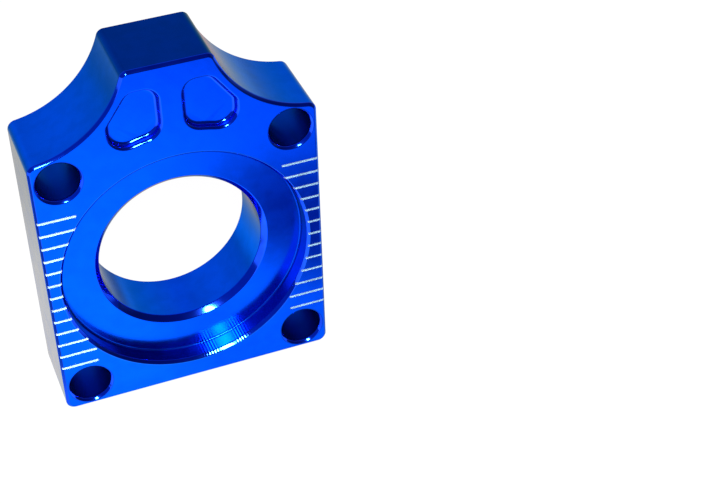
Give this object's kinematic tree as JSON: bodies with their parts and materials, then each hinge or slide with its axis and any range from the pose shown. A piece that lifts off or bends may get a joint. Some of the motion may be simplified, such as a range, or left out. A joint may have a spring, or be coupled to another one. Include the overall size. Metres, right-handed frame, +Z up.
{
  "type": "motorcycle chain adjuster block",
  "caption": "Upright rear axle block with a bored washer recess, engraved alignment lines, lightening holes and a nose with hollow shoulders and shallow pockets.",
  "frame": {"origin": "middle of the base, on the surface that the block stands on", "axes": "+Z up towards the nose; -Y out of the marked face with the recess; X across the width; the axle bore runs along Y"},
  "size_m": [0.0424, 0.0132, 0.0567],
  "materials": {
    "blue_anodised_aluminium": "bright anodised over fine machining marks, with lines engraved through to bare metal"
  },
  "bodies": {
    "root": {"axle_block": "blue_anodised_aluminium"}
  },
  "joints": []
}
